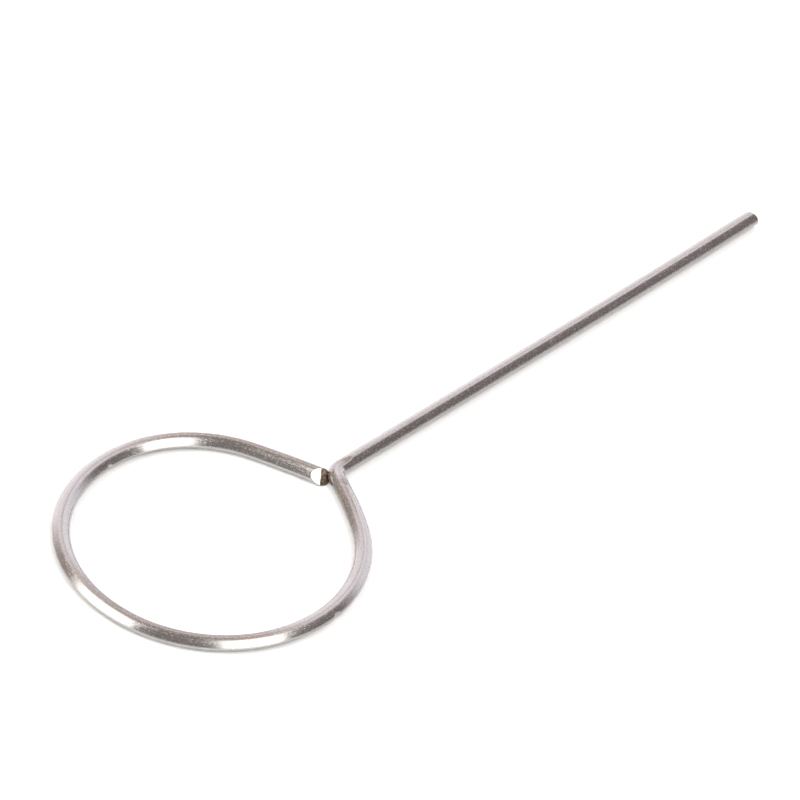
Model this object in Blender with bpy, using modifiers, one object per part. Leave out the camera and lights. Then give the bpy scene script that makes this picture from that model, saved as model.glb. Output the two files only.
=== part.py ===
"""Inoculating loop: one length of round chromium-nickel wire, bent to a closed eye with a straight shank.

The loop lies flat on the plane z = 0, with the shank along +Y and the eye at the -Y end. The origin is under
the middle of the wire's box. The wire is walked as a wire former would bend it: from the free end of the
shank, through the tight neck bend, then once round the eye to the cut end that closes against the neck. The
eye is then pressed a little flat, so that it is wider and thinner than the round shank.
"""

import math

import bmesh
import bpy
from mathutils import Vector

# The wire, round along the shank and pressed flat round the eye
WIRE_DIAMETER = 0.00090
EYE_WIDTH = 0.00100
EYE_THICKNESS = 0.00078
PRESSED_RUN = 0.0025  # from the neck bend to where the wire is fully flat
RIM_ROUNDING = 0.00006  # the burr of each cut end, dressed off

# The shank, from its free end to the neck bend
SHANK_BOWED = 0.0174  # outer part, bowed a little by the cutters
SHANK_BOW_TURN = 1.2
SHANK_STRAIGHT = 0.0150

# The neck, bent sharply to the left round a plier jaw, and the straight start of the eye's right arm
NECK_RADIUS = 0.00085
NECK_TURN = -64.0
ARM_STRAIGHT = 0.0016

# The eye, formed by hand round a mandrel, to the right: axis radius and turn of each stretch
EYE_STRETCHES = (
    (0.02000, 7.0),  # right arm
    (0.00850, 76.0),  # right side
    (0.00785, 60.5),  # front
    (0.00845, 110.0),  # left side
    (0.00705, 59.5),  # left shoulder, the tightest
    (0.05400, 4.3),  # left arm, almost straight, up to the cut end
)

# How finely the wire is divided
DEGREES_PER_STEP = 5.0
BEVEL_RESOLUTION = 6  # a section of sixteen sides
WELD_DISTANCE = 1e-6


def straight(length):
    """A straight stretch: its length along the axis, and no turn."""
    return length, 0.0


def arc(radius, turn):
    """A bent stretch: its length along the axis, and its turn in degrees, to the right when above zero."""
    return radius * math.radians(abs(turn)), turn


def wire_axis(stretches):
    """Points along the wire's axis on a level plane, from the free end of a shank that comes down along -Y."""
    here = Vector((0.0, 0.0, 0.0))
    heading = math.radians(-90.0 + SHANK_BOW_TURN)
    points = [here.copy()]
    for length, turn in stretches:
        steps = max(1, math.ceil(abs(turn) / DEGREES_PER_STEP))
        half_step = math.radians(turn) / steps / 2
        chord = length / steps
        if turn:
            chord *= math.sin(half_step) / half_step
        for _ in range(steps):
            heading -= half_step
            here += Vector((math.cos(heading), math.sin(heading), 0.0)) * chord
            heading -= half_step
            points.append(here.copy())
    return points


def over_the_origin(points):
    """The same points, moved on their plane so that the middle of the wire's box is over the origin."""
    middle_x = (min(p.x for p in points) + max(p.x for p in points)) / 2
    middle_y = (min(p.y for p in points) - EYE_WIDTH / 2 + max(p.y for p in points)) / 2
    return [p - Vector((middle_x, middle_y, 0.0)) for p in points]


def pressed(y, neck_y):
    """How far the wire is pressed flat at y: 0 on the shank and 1 round the eye, eased over PRESSED_RUN."""
    share = min(1.0, max(0.0, (neck_y - y) / PRESSED_RUN))
    return share * share * (3.0 - 2.0 * share)


def bright_wire_material():
    """Bright drawn chromium-nickel wire."""
    material = bpy.data.materials.new("bright_wire")
    material.use_nodes = True
    shader = material.node_tree.nodes["Principled BSDF"]
    shader.inputs["Base Color"].default_value = (0.62, 0.59, 0.56, 1.0)
    shader.inputs["Metallic"].default_value = 1.0
    shader.inputs["Roughness"].default_value = 0.22
    return material


def make_round_wire(points, neck_y):
    """The wire as a curve object, still round everywhere, lying on the plane z = 0."""
    curve = bpy.data.curves.new("round_wire", "CURVE")
    curve.dimensions = "3D"
    curve.bevel_depth = WIRE_DIAMETER / 2
    curve.bevel_resolution = BEVEL_RESOLUTION
    curve.use_fill_caps = True
    spline = curve.splines.new("POLY")
    spline.points.add(len(points) - 1)
    for spline_point, place in zip(spline.points, points):
        widening = (EYE_WIDTH / WIRE_DIAMETER - 1.0) * pressed(place.y, neck_y)
        spline_point.radius = 1.0 + widening
        spline_point.co = (place.x, place.y, curve.bevel_depth * spline_point.radius, 1.0)
    round_wire = bpy.data.objects.new("round_wire", curve)
    bpy.context.scene.collection.objects.link(round_wire)
    return round_wire


def press_eye_flat(mesh, neck_y):
    """Weld the curve's caps to its sides, then bring the eye down to its thickness."""
    body = bmesh.new()
    body.from_mesh(mesh)
    bmesh.ops.remove_doubles(body, verts=body.verts, dist=WELD_DISTANCE)
    for vertex in body.verts:
        vertex.co.z *= 1.0 + (EYE_THICKNESS / EYE_WIDTH - 1.0) * pressed(vertex.co.y, neck_y)
    body.to_mesh(mesh)
    body.free()


def make_loop_wire(collection):
    """The whole wire as one solid with flat, rim-dressed ends."""
    shank = [(SHANK_BOWED, SHANK_BOW_TURN), straight(SHANK_STRAIGHT)]
    eye = [straight(ARM_STRAIGHT)] + [arc(radius, turn) for radius, turn in EYE_STRETCHES]
    points = over_the_origin(wire_axis(shank + [arc(NECK_RADIUS, NECK_TURN)] + eye))
    neck_y = max(p.y for p in points) - SHANK_BOWED - SHANK_STRAIGHT

    round_wire = make_round_wire(points, neck_y)
    evaluated = round_wire.evaluated_get(bpy.context.evaluated_depsgraph_get())
    mesh = bpy.data.meshes.new_from_object(evaluated)
    bpy.data.objects.remove(round_wire, do_unlink=True)
    mesh.name = "loop_wire"
    press_eye_flat(mesh, neck_y)
    mesh.materials.clear()
    mesh.materials.append(bright_wire_material())

    wire = bpy.data.objects.new("loop_wire", mesh)
    collection.objects.link(wire)
    rim = wire.modifiers.new("dressed_rims", "BEVEL")
    rim.width = RIM_ROUNDING
    rim.segments = 2
    rim.limit_method = "ANGLE"
    rim.angle_limit = math.radians(60.0)
    mesh.shade_smooth()
    mesh.set_sharp_from_angle(angle=math.radians(40.0))


for old in list(bpy.data.objects):
    bpy.data.objects.remove(old, do_unlink=True)
loop_collection = bpy.data.collections.new("inoculating_loop")
bpy.context.scene.collection.children.link(loop_collection)
make_loop_wire(loop_collection)
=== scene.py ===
"""Inoculating loop, bent from one length of bright chromium-nickel wire, lying flat on a pale table."""

import math

import bmesh
import bpy
from mathutils import Matrix, Vector


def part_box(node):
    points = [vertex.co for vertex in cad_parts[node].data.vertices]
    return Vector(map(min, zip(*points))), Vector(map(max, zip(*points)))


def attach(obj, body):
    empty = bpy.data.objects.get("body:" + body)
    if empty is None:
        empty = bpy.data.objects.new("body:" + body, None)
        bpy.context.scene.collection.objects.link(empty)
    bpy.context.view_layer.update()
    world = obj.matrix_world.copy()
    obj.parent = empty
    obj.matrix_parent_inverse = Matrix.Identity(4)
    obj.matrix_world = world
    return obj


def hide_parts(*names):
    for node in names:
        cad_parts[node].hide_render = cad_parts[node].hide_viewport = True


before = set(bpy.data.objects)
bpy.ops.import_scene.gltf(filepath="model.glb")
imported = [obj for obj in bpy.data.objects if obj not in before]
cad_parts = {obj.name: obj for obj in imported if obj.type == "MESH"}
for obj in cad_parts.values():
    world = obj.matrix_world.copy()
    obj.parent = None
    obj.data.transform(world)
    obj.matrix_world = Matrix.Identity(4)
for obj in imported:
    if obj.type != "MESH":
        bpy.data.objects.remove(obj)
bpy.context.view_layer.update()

# ---------------------------------------------------------------------------------------------------------
# The wire. The real piece is one length of bright drawn chromium-nickel wire, cut with side cutters, bent
# sharply at the neck with pliers and closed by hand to an eye round a mandrel, which flattens the eye a
# little. Nothing is fixed to it: the shank is clamped in a needle holder's chuck.
# ---------------------------------------------------------------------------------------------------------

WIRE_DIAMETER = 0.00090
EYE_WIDTH = 0.00100
EYE_THICKNESS = 0.00078
PRESSED_RUN = 0.0025  # from the neck bend to where the wire is fully flat

SHANK_BOWED = 0.0174  # outer part of the shank, bowed a little by the cutters
SHANK_BOW_TURN = 1.2
SHANK_STRAIGHT = 0.0150
NECK_RADIUS = 0.00085
NECK_TURN = -64.0  # to the left
ARM_STRAIGHT = 0.0016
EYE_STRETCHES = (  # axis radius and turn to the right of each stretch of the eye
    (0.02000, 7.0),  # right arm
    (0.00850, 76.0),  # right side
    (0.00785, 60.5),  # front
    (0.00845, 110.0),  # left side
    (0.00705, 59.5),  # left shoulder, the tightest
    (0.05400, 4.3),  # left arm, almost straight, up to the cut end
)
TORN_LIP = 0.00034  # metal drawn out by the cutter, past the length of the arm
RING_SPACING = 0.00008
SECTION_SIDES = 48
WAVER = 0.000006  # how far the hand-bent wire wavers
WAVER_SEED = 7
WELD_DISTANCE = 1e-7
SHARP_ANGLE = 32.0


def walk_the_bends():
    """Points along the wire's axis, from the free end of the shank, as a wire former would bend it."""
    stretches = [(SHANK_BOWED, SHANK_BOW_TURN), (SHANK_STRAIGHT, 0.0)]
    stretches += [(NECK_RADIUS * math.radians(-NECK_TURN), NECK_TURN), (ARM_STRAIGHT, 0.0)]
    stretches += [(radius * math.radians(turn), turn) for radius, turn in EYE_STRETCHES]
    stretches += [(TORN_LIP, 0.0)]
    here = Vector((0.0, 0.0, 0.0))
    heading = math.radians(-90.0 + SHANK_BOW_TURN)
    points = [here.copy()]
    for length, turn in stretches:
        steps = max(1, round(length / RING_SPACING))
        half_step = math.radians(turn) / steps / 2
        chord = length / steps
        if turn:
            chord *= math.sin(half_step) / half_step
        for _ in range(steps):
            heading -= half_step
            here += Vector((math.cos(heading), math.sin(heading), 0.0)) * chord
            heading -= half_step
            points.append(here.copy())
    return points


def over_the_cad(points):
    """The same points, moved on the table until the middle of the wire's box is over the CAD wire's."""
    box_low, box_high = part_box("loop_wire")
    middle_x = (min(p.x for p in points) + max(p.x for p in points)) / 2
    middle_y = (min(p.y for p in points) - EYE_WIDTH / 2 + max(p.y for p in points)) / 2
    shift = Vector(((box_low.x + box_high.x) / 2 - middle_x, (box_low.y + box_high.y) / 2 - middle_y, 0.0))
    return [p + shift for p in points]


def wire_tree():
    """Geometry nodes that turn a chain of points into round wire, pressed flat from the neck bend on."""
    tree = bpy.data.node_groups.new("wire_along_a_path", "GeometryNodeTree")
    tree.interface.new_socket("Geometry", in_out="INPUT", socket_type="NodeSocketGeometry")
    for name in ("Wire Diameter", "Eye Width", "Eye Thickness", "Neck Y", "Pressed Run", "Waver"):
        tree.interface.new_socket(name, in_out="INPUT", socket_type="NodeSocketFloat")
    tree.interface.new_socket("Section Sides", in_out="INPUT", socket_type="NodeSocketInt")
    tree.interface.new_socket("Seed", in_out="INPUT", socket_type="NodeSocketInt")
    tree.interface.new_socket("Material", in_out="INPUT", socket_type="NodeSocketMaterial")
    tree.interface.new_socket("Geometry", in_out="OUTPUT", socket_type="NodeSocketGeometry")
    inputs = tree.nodes.new("NodeGroupInput")

    def node(kind, **settings):
        made = tree.nodes.new(kind)
        for key, value in settings.items():
            setattr(made, key, value)
        return made

    def math_of(operation, first, second):
        made = node("ShaderNodeMath", operation=operation)
        for socket, value in zip(made.inputs, (first, second)):
            if isinstance(value, (int, float)):
                socket.default_value = value
            else:
                tree.links.new(value, socket)
        return made.outputs[0]

    def pressed_share():
        """0 on the shank and 1 round the eye, eased over the pressed run."""
        place = node("GeometryNodeInputPosition")
        apart = node("ShaderNodeSeparateXYZ")
        tree.links.new(place.outputs[0], apart.inputs[0])
        eased = node("ShaderNodeMapRange", interpolation_type="SMOOTHSTEP")
        past_neck = math_of("SUBTRACT", inputs.outputs["Neck Y"], apart.outputs["Y"])
        tree.links.new(past_neck, eased.inputs["Value"])
        tree.links.new(inputs.outputs["Pressed Run"], eased.inputs["From Max"])
        return eased.outputs["Result"]

    chain = node("GeometryNodeMeshToCurve")
    tree.links.new(inputs.outputs["Geometry"], chain.inputs["Mesh"])

    # the round wire's radius at each point of the path
    widened = math_of("DIVIDE", inputs.outputs["Eye Width"], inputs.outputs["Wire Diameter"])
    growth = math_of("MULTIPLY", math_of("SUBTRACT", widened, 1.0), pressed_share())
    half = math_of("MULTIPLY", inputs.outputs["Wire Diameter"], 0.5)
    radius = math_of("MULTIPLY", half, math_of("ADD", growth, 1.0))
    lift = node("ShaderNodeCombineXYZ")
    tree.links.new(radius, lift.inputs["Z"])
    lifted = node("GeometryNodeSetPosition")
    tree.links.new(chain.outputs["Curve"], lifted.inputs["Geometry"])
    tree.links.new(lift.outputs[0], lifted.inputs["Offset"])
    upright = node("GeometryNodeSetCurveNormal", mode="Z_UP")
    tree.links.new(lifted.outputs["Geometry"], upright.inputs["Curve"])
    kept_radius = node("GeometryNodeStoreNamedAttribute", data_type="FLOAT", domain="POINT")
    kept_radius.inputs["Name"].default_value = "wire_radius"
    tree.links.new(upright.outputs["Curve"], kept_radius.inputs["Geometry"])
    tree.links.new(radius, kept_radius.inputs["Value"])

    # the round section, each point keeping where it stands round the wire
    section = node("GeometryNodeCurvePrimitiveCircle")
    tree.links.new(inputs.outputs["Section Sides"], section.inputs["Resolution"])
    section.inputs["Radius"].default_value = 1.0
    section_place = node("GeometryNodeInputPosition")
    kept_section = node("GeometryNodeStoreNamedAttribute", data_type="FLOAT_VECTOR", domain="POINT")
    kept_section.inputs["Name"].default_value = "across"
    tree.links.new(section.outputs["Curve"], kept_section.inputs["Geometry"])
    tree.links.new(section_place.outputs[0], kept_section.inputs["Value"])

    swept = node("GeometryNodeCurveToMesh")
    swept.inputs["Fill Caps"].default_value = True
    read_radius = node("GeometryNodeInputNamedAttribute", data_type="FLOAT")
    read_radius.inputs["Name"].default_value = "wire_radius"
    tree.links.new(kept_radius.outputs["Geometry"], swept.inputs["Curve"])
    tree.links.new(kept_section.outputs["Geometry"], swept.inputs["Profile Curve"])
    tree.links.new(read_radius.outputs[0], swept.inputs["Scale"])

    # the eye brought down to its thickness
    place = node("GeometryNodeInputPosition")
    apart = node("ShaderNodeSeparateXYZ")
    tree.links.new(place.outputs[0], apart.inputs[0])
    thinned = math_of("DIVIDE", inputs.outputs["Eye Thickness"], inputs.outputs["Eye Width"])
    squeeze = math_of("ADD", math_of("MULTIPLY", math_of("SUBTRACT", thinned, 1.0), pressed_share()), 1.0)
    again = node("ShaderNodeCombineXYZ")
    tree.links.new(apart.outputs["X"], again.inputs["X"])
    tree.links.new(apart.outputs["Y"], again.inputs["Y"])
    tree.links.new(math_of("MULTIPLY", apart.outputs["Z"], squeeze), again.inputs["Z"])
    flattened = node("GeometryNodeSetPosition")
    tree.links.new(swept.outputs["Mesh"], flattened.inputs["Geometry"])
    tree.links.new(again.outputs[0], flattened.inputs["Position"])

    # the slight waver of a hand-bent wire
    wander = node("ShaderNodeTexNoise", noise_dimensions="4D")
    wander.inputs["Scale"].default_value = 900.0
    wander.inputs["Detail"].default_value = 1.0
    tree.links.new(inputs.outputs["Seed"], wander.inputs["W"])
    centred = math_of("SUBTRACT", wander.outputs[0], 0.5)
    normal = node("GeometryNodeInputNormal")
    along_normal = node("ShaderNodeVectorMath", operation="SCALE")
    tree.links.new(normal.outputs[0], along_normal.inputs[0])
    tree.links.new(math_of("MULTIPLY", centred, inputs.outputs["Waver"]), along_normal.inputs["Scale"])
    wavered = node("GeometryNodeSetPosition")
    tree.links.new(flattened.outputs["Geometry"], wavered.inputs["Geometry"])
    tree.links.new(along_normal.outputs["Vector"], wavered.inputs["Offset"])

    smooth = node("GeometryNodeSetShadeSmooth")
    realized = node("GeometryNodeRealizeInstances")
    painted = node("GeometryNodeSetMaterial")
    outputs = tree.nodes.new("NodeGroupOutput")
    tree.links.new(wavered.outputs["Geometry"], smooth.inputs["Geometry"])
    tree.links.new(smooth.outputs["Geometry"], realized.inputs["Geometry"])
    tree.links.new(realized.outputs["Geometry"], painted.inputs["Geometry"])
    tree.links.new(inputs.outputs["Material"], painted.inputs["Material"])
    tree.links.new(painted.outputs["Geometry"], outputs.inputs["Geometry"])
    return tree


# The finish of the metal. A stretch is in cycles a metre, twice across the wire and once along it.
DRAWN_LINES = (14000.0, 14000.0, 350.0)
DIE_LINES = (8000.0, 8000.0, 25.0)
SPECKS = (12000.0, 12000.0, 6500.0)
PITS = 9000.0
STAIN_PATCHES = 420.0
TORN_GRAIN = 5000.0
SPECK_TONES = ((0.42, (0.43, 0.42, 0.415)), (0.58, (0.495, 0.485, 0.48)))
STAIN_TONES = ((0.35, (0.95, 0.94, 0.93)), (0.65, (1.0, 0.995, 1.0)))
DIE_TONES = ((0.38, (0.90, 0.895, 0.89)), (0.48, (1.0, 1.0, 1.0)))
# the torn face's dark brown is painted shade of the narrow gap between the cut end and the neck; only its
# dullness (roughness) is the torn face's own
TORN_FACE_PAINTED_SHADE = ((0.36, (0.11, 0.078, 0.06)), (0.66, (0.36, 0.27, 0.21)))
BRIGHT_ROUGHNESS = (0.12, 0.22)  # where the drawn lines are low, and where they are high
FROSTED_ROUGHNESS = 0.5
FROSTED_SHARE = 0.35  # at most, on a speck
TORN_ROUGHNESS = 0.5
LINE_DEPTH = 0.0000003
PIT_DEPTH = 0.0000008


def bright_wire():
    """Bright drawn wire: fine lines along it, specks, pits and stains, and a dull torn face whose dark brown
    is painted shade.
    """
    material = bpy.data.materials.new("bright_drawn_wire")
    material.use_nodes = True
    nodes = material.node_tree.nodes
    links = material.node_tree.links
    shader = nodes["Principled BSDF"]
    shader.inputs["Metallic"].default_value = 1.0

    def attribute(name):
        made = nodes.new("ShaderNodeAttribute")
        made.attribute_name = name
        return made

    def stretched(place, stretch):
        made = nodes.new("ShaderNodeMapping")
        made.inputs["Scale"].default_value = stretch
        links.new(place, made.inputs["Vector"])
        return made.outputs[0]

    def noise(place, scale, detail, roughness=0.5):
        made = nodes.new("ShaderNodeTexNoise")
        made.inputs["Scale"].default_value = scale
        made.inputs["Detail"].default_value = detail
        made.inputs["Roughness"].default_value = roughness
        links.new(place, made.inputs["Vector"])
        return made.outputs[0]

    def tones(value, stops):
        made = nodes.new("ShaderNodeValToRGB")
        for element, (place, colour) in zip(made.color_ramp.elements, stops):
            element.position = place
            element.color = (*colour, 1.0)
        links.new(value, made.inputs["Fac"])
        return made.outputs["Color"]

    def spread(value, low, high, to_low, to_high):
        made = nodes.new("ShaderNodeMapRange")
        made.inputs["From Min"].default_value = low
        made.inputs["From Max"].default_value = high
        made.inputs["To Min"].default_value = to_low
        made.inputs["To Max"].default_value = to_high
        links.new(value, made.inputs["Value"])
        return made.outputs["Result"]

    def multiplied(first, second):
        made = nodes.new("ShaderNodeMix")
        made.data_type = "RGBA"
        made.blend_type = "MULTIPLY"
        made.inputs["Factor"].default_value = 1.0
        links.new(first, made.inputs["A"])
        links.new(second, made.inputs["B"])
        return made.outputs["Result"]

    def rougher(value, share, roughness):
        made = nodes.new("ShaderNodeMix")
        made.data_type = "FLOAT"
        made.inputs["B"].default_value = roughness
        links.new(share, made.inputs["Factor"])
        links.new(value, made.inputs["A"])
        return made.outputs["Result"]

    def bump(height, depth):
        made = nodes.new("ShaderNodeBump")
        made.inputs["Strength"].default_value = 1.0
        made.inputs["Distance"].default_value = depth
        links.new(height, made.inputs["Height"])
        return made

    unrolled = attribute("unrolled").outputs["Vector"]
    torn = attribute("torn").outputs["Fac"]
    drawn_lines = noise(stretched(unrolled, DRAWN_LINES), 1.0, 3.0)
    die_lines = noise(stretched(unrolled, DIE_LINES), 1.0, 1.0)
    specks = noise(stretched(unrolled, SPECKS), 1.0, 2.0, 0.65)
    pits = noise(unrolled, PITS, 4.0, 0.6)
    patches = noise(unrolled, STAIN_PATCHES, 3.0)

    # the colour: the metal's own specks, stains and die lines, and painted shade on the torn face
    stained = multiplied(tones(specks, SPECK_TONES), tones(patches, STAIN_TONES))
    lined = multiplied(stained, tones(die_lines, DIE_TONES))
    torn_place = nodes.new("ShaderNodeTexCoord").outputs["Object"]
    coloured = nodes.new("ShaderNodeMix")
    coloured.data_type = "RGBA"
    links.new(torn, coloured.inputs["Factor"])
    links.new(lined, coloured.inputs["A"])
    # the torn face is given the painted shade's dark brown in place of the metal's colour
    links.new(tones(noise(torn_place, TORN_GRAIN, 3.0), TORN_FACE_PAINTED_SHADE), coloured.inputs["B"])
    links.new(coloured.outputs["Result"], shader.inputs["Base Color"])

    # the roughness
    bright = spread(drawn_lines, 0.3, 0.7, *BRIGHT_ROUGHNESS)
    frosted = rougher(bright, spread(specks, 0.52, 0.66, 0.0, FROSTED_SHARE), FROSTED_ROUGHNESS)
    links.new(rougher(frosted, torn, TORN_ROUGHNESS), shader.inputs["Roughness"])

    # the relief
    line_bump = bump(drawn_lines, LINE_DEPTH)
    pit_bump = bump(pits, PIT_DEPTH)
    links.new(line_bump.outputs["Normal"], pit_bump.inputs["Normal"])
    links.new(pit_bump.outputs["Normal"], shader.inputs["Normal"])
    return material


path = over_the_cad(walk_the_bends())
neck_y = max(p.y for p in path) - SHANK_BOWED - SHANK_STRAIGHT
chain = bpy.data.meshes.new("formed_wire")
chain.from_pydata([tuple(p) for p in path], [(i, i + 1) for i in range(len(path) - 1)], [])
along = chain.attributes.new("along", "FLOAT", "POINT")
distances = [0.0]
for before, after in zip(path, path[1:]):
    distances.append(distances[-1] + (after - before).length)
along.data.foreach_set("value", distances)
formed_wire = bpy.data.objects.new("formed_wire", chain)
bpy.context.scene.collection.objects.link(formed_wire)

tree = wire_tree()
bending = formed_wire.modifiers.new("wire_along_a_path", "NODES")
bending.node_group = tree
sizes = {
    "Wire Diameter": WIRE_DIAMETER,
    "Eye Width": EYE_WIDTH,
    "Eye Thickness": EYE_THICKNESS,
    "Neck Y": neck_y,
    "Pressed Run": PRESSED_RUN,
    "Waver": WAVER,
    "Section Sides": SECTION_SIDES,
    "Seed": WAVER_SEED,
    "Material": bright_wire(),
}
for item in tree.interface.items_tree:
    if item.in_out == "INPUT" and item.name in sizes:
        bending[item.identifier] = sizes[item.name]
evaluated = formed_wire.evaluated_get(bpy.context.evaluated_depsgraph_get())
swept_mesh = bpy.data.meshes.new_from_object(evaluated)
formed_wire.modifiers.clear()
formed_wire.data = swept_mesh
swept_mesh.name = "formed_wire"
bpy.data.meshes.remove(chain)

# The cut ends: the shank's was nipped a little askew, the eye's has a cutter's facet on its inner side
TIP_SKEW = 17.0
CUT_REACH = 0.0014  # how far from an end a cut may take metal
RIM_ROUNDING = 0.00004
TORN_TURN = 20.0  # of the torn face, from the arm's heading towards the inner side of the eye
TORN_TILT = 58.0  # of its normal from upright
TORN_SETBACK = 0.000262  # from the end of the path to where it meets the wire's middle line
FACET_TURN = 46.0  # the same, of the cutter's facet
FACET_TILT = 50.0
FACET_OFFSET = 0.00012  # from the wire's middle line to the inner side, where the facet meets the torn face

body = bmesh.new()
body.from_mesh(swept_mesh)
bmesh.ops.remove_doubles(body, verts=body.verts, dist=WELD_DISTANCE)
torn_layer = body.faces.layers.float.new("torn")
along_layer = body.verts.layers.float["along"]
wire_length = distances[-1]
tip_heading = (path[0] - path[1]).normalized()
end_heading = (path[-1] - path[-2]).normalized()
inner_side = Vector((end_heading.y, -end_heading.x, 0.0))


def cut(place, outward, torn_share):
    """Takes off what of the eye's end stands beyond a plane, and closes the wire with a flat face."""
    faces = [f for f in body.faces if any(v[along_layer] > wire_length - CUT_REACH for v in f.verts)]
    edges = list(dict.fromkeys(edge for face in faces for edge in face.edges))
    verts = list(dict.fromkeys(v for face in faces for v in face.verts))
    made = bmesh.ops.bisect_plane(
        body,
        geom=verts + edges + faces,
        dist=1e-8,
        plane_co=place,
        plane_no=outward,
        clear_outer=True,
    )
    rim = [e for e in made["geom_cut"] if isinstance(e, bmesh.types.BMEdge)]
    for face in bmesh.ops.contextual_create(body, geom=rim)["faces"]:
        face[torn_layer] = torn_share


# the shank's end: its last rings are slanted, and the rim of its flat face is dressed
slant = math.tan(math.radians(TIP_SKEW))
tip_left = Vector((-tip_heading.y, tip_heading.x, 0.0))
for vertex in body.verts:
    share = 1.0 - vertex[along_layer] / CUT_REACH
    if share > 0.0:
        sideways = (vertex.co - path[0]).dot(tip_left)
        vertex.co -= tip_heading * share * slant * (sideways + WIRE_DIAMETER / 2)
tip_face = max(body.faces, key=lambda face: face.calc_center_median().dot(tip_heading))
rim_edges = list(tip_face.edges)
bmesh.ops.bevel(body, geom=rim_edges, offset=RIM_ROUNDING, segments=3, affect="EDGES", profile=0.5)


def turned_normal(turn, tilt):
    """A direction turned from the arm's heading towards the inner side, and tilted from upright."""
    level = Matrix.Rotation(math.radians(-turn), 3, "Z") @ end_heading
    return level * math.sin(math.radians(tilt)) + Vector((0.0, 0.0, math.cos(math.radians(tilt))))


end_centre = path[-1] - end_heading * TORN_SETBACK + Vector((0.0, 0.0, EYE_THICKNESS / 2))
cut(end_centre, turned_normal(TORN_TURN, TORN_TILT), 1.0)
facet_start = end_centre + inner_side * FACET_OFFSET
cut(facet_start, turned_normal(FACET_TURN, FACET_TILT), 0.0)
bmesh.ops.recalc_face_normals(body, faces=body.faces)
if body.calc_volume(signed=True) < 0.0:
    bmesh.ops.reverse_faces(body, faces=body.faces)

# the flat that the plier's jaw pressed on top of the neck
FLAT_LEAN = 8.0  # of its normal from upright
FLAT_TOWARDS = 29.6  # the way it leans, from +X
FLAT_DEPTH = 0.00007  # at its middle, fading to nothing at its reach along the wire
FLAT_REACH = 0.0010
FLAT_PAST_NECK = 0.0002  # its middle is this far beyond the middle of the bend, on the eye's arm
neck_along = SHANK_BOWED + SHANK_STRAIGHT + NECK_RADIUS * math.radians(-NECK_TURN) / 2
neck_step = min(range(len(path)), key=lambda i: abs(distances[i] - neck_along))
lean = math.radians(FLAT_LEAN)
flat_normal = Vector((math.sin(lean), 0.0, math.cos(lean)))
flat_normal.rotate(Matrix.Rotation(math.radians(FLAT_TOWARDS), 3, "Z"))
flat_place = path[neck_step] + Vector((0.0, 0.0, WIRE_DIAMETER - FLAT_DEPTH))
for vertex in body.verts:
    share = abs(vertex[along_layer] - neck_along - FLAT_PAST_NECK) / FLAT_REACH
    above = (vertex.co - flat_place).dot(flat_normal) - FLAT_DEPTH * share * share
    if share < 2.0 and above > 0.0:
        vertex.co -= flat_normal * above

# nicks left by the pliers and the cutter
NICKS = (  # distance along the wire, side (1 = inside the eye), degrees above the middle, size, depth
    (0.0722, 1.0, 2.0, 0.00032, 0.000080),
    (0.0448, -1.0, 4.0, 0.00034, 0.000080),
    (0.0786, 1.0, 30.0, 0.00010, 0.000012),
    (0.0568, -1.0, 48.0, 0.00009, 0.000010),
    (0.0372, 1.0, 52.0, 0.00010, 0.000010),
    (0.0121, -1.0, 40.0, 0.00012, 0.000010),
    (0.0214, 1.0, 55.0, 0.00010, 0.000009),
    (0.0042, 1.0, 35.0, 0.00012, 0.000012),
)
body.normal_update()
for reach_along, side, height, size, depth in NICKS:
    step = min(range(1, len(path) - 1), key=lambda i: abs(distances[i] - reach_along))
    way = (path[step + 1] - path[step - 1]).normalized()
    middle = path[step] + Vector((0.0, 0.0, WIRE_DIAMETER / 2))
    outward = Vector((way.y, -way.x, 0.0)) * side * math.cos(math.radians(height))
    outward.z = math.sin(math.radians(height))
    near = [v for v in body.verts if (v.co - middle).length < WIRE_DIAMETER]
    struck = max(near, key=lambda v: (v.co - middle).dot(outward)).co.copy()
    for vertex in near:
        apart = (vertex.co - struck).length / size
        if apart < 1.0:
            vertex.co -= vertex.normal * depth * (1.0 - apart * apart) ** 2

# the bevel makes its pieces in no fixed order, so they are put in one before the mesh is kept
ORDER_ALONG = Vector((0.3137, 0.9241, 0.2189))
body.verts.sort(key=lambda vertex: vertex.co.dot(ORDER_ALONG))
body.edges.sort(key=lambda edge: (edge.verts[0].co + edge.verts[1].co).dot(ORDER_ALONG))
body.faces.sort(key=lambda face: face.calc_center_median().dot(ORDER_ALONG))
body.to_mesh(swept_mesh)
body.free()

# where each point stood when the wire was straight: across it in two ways, and along it
across = [place.vector.copy() for place in swept_mesh.attributes["across"].data]
radii = [place.value for place in swept_mesh.attributes["wire_radius"].data]
lengths = [place.value for place in swept_mesh.attributes["along"].data]
unrolled = swept_mesh.attributes.new("unrolled", "FLOAT_VECTOR", "POINT")
for place, section, radius, length in zip(unrolled.data, across, radii, lengths):
    place.vector = (section.x * radius, section.y * radius, length)

swept_mesh.shade_smooth()
swept_mesh.set_sharp_from_angle(angle=math.radians(SHARP_ANGLE))
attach(formed_wire, "root")
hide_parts("loop_wire")
for node_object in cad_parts.values():
    node_object.data.materials.clear()
    node_object.data.materials.append(swept_mesh.materials[0])

# ---------------------------------------------------------------------------------------------------------
# The table. A large white board; it stands for the bench the loop is laid on and isn't part of it. It isn't
# physical: the camera always sees matt white, and every other ray sees a shine where it meets the board at a
# slant, so that the wire's underside mirrors less of the white.
# ---------------------------------------------------------------------------------------------------------

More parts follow.
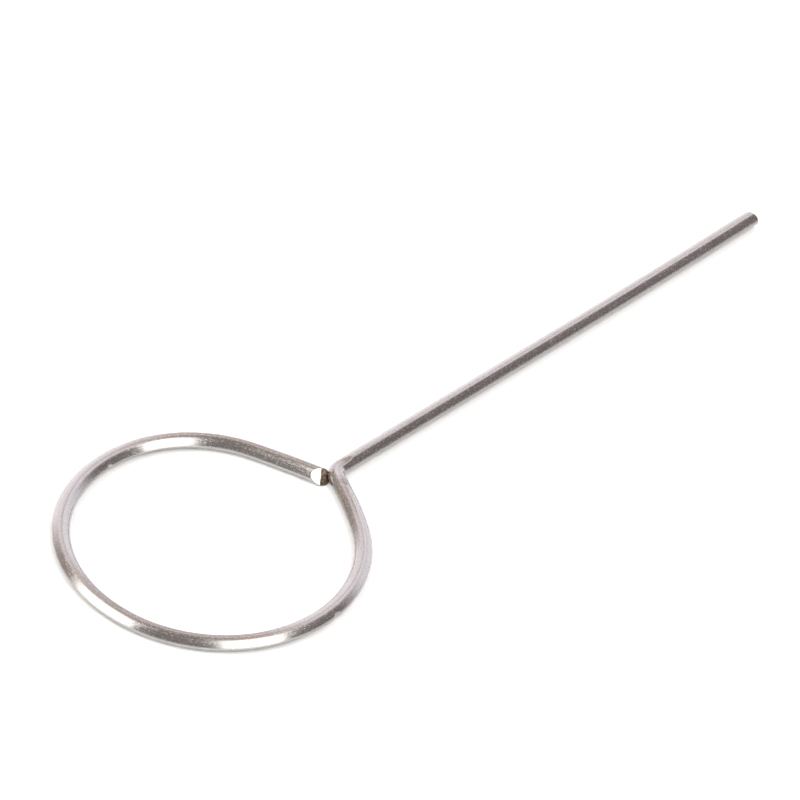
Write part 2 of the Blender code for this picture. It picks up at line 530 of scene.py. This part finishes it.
TABLE_RADIUS = 3.0
TABLE_SIDES = 96
BOARD_TONES = ((0.93, 0.95, 0.97, 1.0), (0.95, 0.97, 0.99, 1.0))
BOARD_ROUGHNESS = 0.75
BOARD_GRAIN = 60.0
SHINE_COLOUR = (0.92, 0.90, 0.88, 1.0)
SHINE_ROUGHNESS = 0.16
SHINE_SLOPE = (0.25, 0.90)  # from no shine to nothing but shine, 0 where a ray meets the board squarely
table_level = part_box("loop_wire")[0].z
round_top = bmesh.new()
bmesh.ops.create_circle(round_top, cap_ends=True, radius=TABLE_RADIUS, segments=TABLE_SIDES)
bmesh.ops.translate(round_top, verts=round_top.verts, vec=(0.0, 0.0, table_level))
table_mesh = bpy.data.meshes.new("pale_table")
round_top.to_mesh(table_mesh)
round_top.free()
table = bpy.data.objects.new("pale_table", table_mesh)
bpy.context.scene.collection.objects.link(table)


def white_board():
    """Matt white with the faintest grain to the camera, and a slanting shine to every other ray."""
    board = bpy.data.materials.new("white_board")
    board.use_nodes = True
    nodes = board.node_tree.nodes
    links = board.node_tree.links
    white = nodes["Principled BSDF"]
    white.inputs["Roughness"].default_value = BOARD_ROUGHNESS
    place = nodes.new("ShaderNodeTexCoord")
    grain = nodes.new("ShaderNodeTexNoise")
    grain.inputs["Scale"].default_value = BOARD_GRAIN
    links.new(place.outputs["Object"], grain.inputs["Vector"])
    tone = nodes.new("ShaderNodeValToRGB")
    for element, colour in zip(tone.color_ramp.elements, BOARD_TONES):
        element.color = colour
    links.new(grain.outputs[0], tone.inputs["Fac"])
    links.new(tone.outputs["Color"], white.inputs["Base Color"])
    shine = nodes.new("ShaderNodeBsdfPrincipled")
    shine.inputs["Base Color"].default_value = SHINE_COLOUR
    shine.inputs["Metallic"].default_value = 1.0
    shine.inputs["Roughness"].default_value = SHINE_ROUGHNESS
    slope = nodes.new("ShaderNodeLayerWeight")
    slope.inputs["Blend"].default_value = 0.5
    shining = nodes.new("ShaderNodeMapRange")
    shining.inputs["From Min"].default_value = SHINE_SLOPE[0]
    shining.inputs["From Max"].default_value = SHINE_SLOPE[1]
    links.new(slope.outputs["Facing"], shining.inputs["Value"])
    mirrored = nodes.new("ShaderNodeMixShader")
    links.new(shining.outputs["Result"], mirrored.inputs["Fac"])
    links.new(white.outputs[0], mirrored.inputs[1])
    links.new(shine.outputs[0], mirrored.inputs[2])
    seen = nodes.new("ShaderNodeLightPath")
    both = nodes.new("ShaderNodeMixShader")
    links.new(seen.outputs["Is Camera Ray"], both.inputs["Fac"])
    links.new(mirrored.outputs[0], both.inputs[1])
    links.new(white.outputs[0], both.inputs[2])
    links.new(both.outputs[0], nodes["Material Output"].inputs["Surface"])
    return board


table_mesh.materials.append(white_board())

# ---------------------------------------------------------------------------------------------------------
# The studio: a world of light and dark panels, like a tent of pale cloth with a lamp behind it at each front
# corner and a dark room behind the camera. The panels' places and lights are fitted so that the bands on the
# wire fall right from this scene's own camera. From elsewhere they stay where they are in the room.
# ---------------------------------------------------------------------------------------------------------

CAMERA_AZIMUTH = 39.75
CAMERA_ELEVATION = 40.48
TENT_PANELS = (  # from and to, in degrees left of the camera's right hand, its light, and that near the peak
    ("right_wall", 346.0, 384.0, (1.45, 1.42, 1.52), (1.60, 1.53, 1.60)),
    ("back_seam", 400.0, 422.0, (1.05, 1.00, 1.04), (0.90, 0.79, 0.78)),
    ("back_wall", 432.0, 476.0, (1.62, 1.52, 1.58), (0.95, 0.84, 0.83)),
    ("left_wall", 492.0, 541.0, (1.72, 1.61, 1.68), (1.62, 1.54, 1.60)),
    ("left_gap", 560.0, 572.0, (0.56, 0.45, 0.40), (1.25, 1.13, 1.10)),
    ("left_lamp", 580.5, 602.5, (3.80, 3.75, 3.60), (0.92, 0.73, 0.61)),
    ("dark_room", 604.5, 636.0, (0.38, 0.335, 0.315), (0.43, 0.375, 0.35)),
    ("right_lamp", 641.0, 662.0, (3.80, 3.75, 3.60), (0.92, 0.73, 0.61)),
    ("right_gap", 664.5, 690.0, (0.33, 0.285, 0.285), (1.45, 1.37, 1.41)),
)
PEAK_TILT = (11.0, 24.0)  # a mirror that leans less shows the camera the peak, one that leans more a panel


def level_direction(azimuth):
    """A level direction, azimuth degrees to the left of the camera's right hand."""
    turned = math.radians(azimuth + CAMERA_AZIMUTH)
    return Vector((math.cos(turned), math.sin(turned), 0.0))


def camera_side():
    """From the table towards the camera."""
    level = level_direction(270.0) * math.cos(math.radians(CAMERA_ELEVATION))
    return level + Vector((0.0, 0.0, math.sin(math.radians(CAMERA_ELEVATION))))


def light_tent():
    """The world: its panels, told apart by how a mirror would have to lean to show them to the camera."""
    world = bpy.data.worlds.new("light_tent")
    world.use_nodes = True
    nodes = world.node_tree.nodes
    links = world.node_tree.links

    def vector_math(operation, first, second):
        made = nodes.new("ShaderNodeVectorMath")
        made.operation = operation
        links.new(first, made.inputs[0])
        if second is not None:
            made.inputs[1].default_value = second
        return made

    def scalar_math(operation, first, second):
        made = nodes.new("ShaderNodeMath")
        made.operation = operation
        links.new(first, made.inputs[0])
        if isinstance(second, float):
            made.inputs[1].default_value = second
        else:
            links.new(second, made.inputs[1])
        return made.outputs[0]

    direction = nodes.new("ShaderNodeTexCoord").outputs["Generated"]
    halfway = vector_math("ADD", direction, camera_side()).outputs["Vector"]
    lean = vector_math("NORMALIZE", halfway, None).outputs["Vector"]
    to_right = vector_math("DOT_PRODUCT", lean, level_direction(0.0)).outputs["Value"]
    to_back = vector_math("DOT_PRODUCT", lean, level_direction(90.0)).outputs["Value"]
    upright = vector_math("DOT_PRODUCT", lean, (0.0, 0.0, 1.0)).outputs["Value"]
    angle = scalar_math("ARCTAN2", to_back, to_right)
    turns = scalar_math("FRACT", scalar_math("ADD", scalar_math("DIVIDE", angle, math.tau), 1.0), 0.0)

    def ring_of_cloth(which):
        """A ramp round the tent: each panel's light at its two edges, in order of angle."""
        stops = []
        for panel in TENT_PANELS:
            for edge in panel[1:3]:
                stops.append((edge % 360.0 / 360.0, panel[which]))
        stops.sort()
        made = nodes.new("ShaderNodeValToRGB")
        while len(made.color_ramp.elements) < len(stops):
            made.color_ramp.elements.new(0.5)
        for element, (place, light) in zip(made.color_ramp.elements, stops):
            element.position = place
            element.color = (*light, 1.0)
        links.new(turns, made.inputs["Fac"])
        return made.outputs["Color"]

    peak = nodes.new("ShaderNodeMapRange")
    peak.interpolation_type = "SMOOTHSTEP"
    peak.inputs["From Min"].default_value = math.cos(math.radians(PEAK_TILT[1]))
    peak.inputs["From Max"].default_value = math.cos(math.radians(PEAK_TILT[0]))
    links.new(upright, peak.inputs["Value"])
    cloth = nodes.new("ShaderNodeMix")
    cloth.data_type = "RGBA"
    links.new(ring_of_cloth(4), cloth.inputs["B"])
    links.new(peak.outputs["Result"], cloth.inputs["Factor"])
    links.new(ring_of_cloth(3), cloth.inputs["A"])
    links.new(cloth.outputs["Result"], nodes["Background"].inputs["Color"])
    return world


bpy.context.scene.world = light_tent()

# ---------------------------------------------------------------------------------------------------------
# The camera: a long lens from the front right, rolled a little so that the loop hangs down to the left.
# ---------------------------------------------------------------------------------------------------------

LENS = 1500.0
SENSOR_WIDTH = 36.0
CAMERA_DISTANCE = 1.803
CAMERA_ROLL = 7.05
AIM_FROM_MIDDLE = Vector((-0.001552, -0.000507, 0.0))

box_low, box_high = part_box("loop_wire")
aim = (box_low + box_high) / 2 + AIM_FROM_MIDDLE
azimuth = math.radians(CAMERA_AZIMUTH)
elevation = math.radians(CAMERA_ELEVATION)
level_share = math.cos(elevation)
back = Vector((math.sin(azimuth) * level_share, -math.cos(azimuth) * level_share, math.sin(elevation)))
camera_data = bpy.data.cameras.new("long_lens")
camera_data.sensor_width = SENSOR_WIDTH
camera_data.lens = LENS
camera_data.clip_end = 10.0
camera = bpy.data.objects.new("camera", camera_data)
bpy.context.scene.collection.objects.link(camera)
camera.location = aim + back * CAMERA_DISTANCE
level = (-back).to_track_quat("-Z", "Y").to_matrix()
camera.rotation_euler = (level @ Matrix.Rotation(math.radians(CAMERA_ROLL), 3, "Z")).to_euler()
bpy.context.scene.camera = camera
bpy.context.scene.view_settings.view_transform = "Standard"
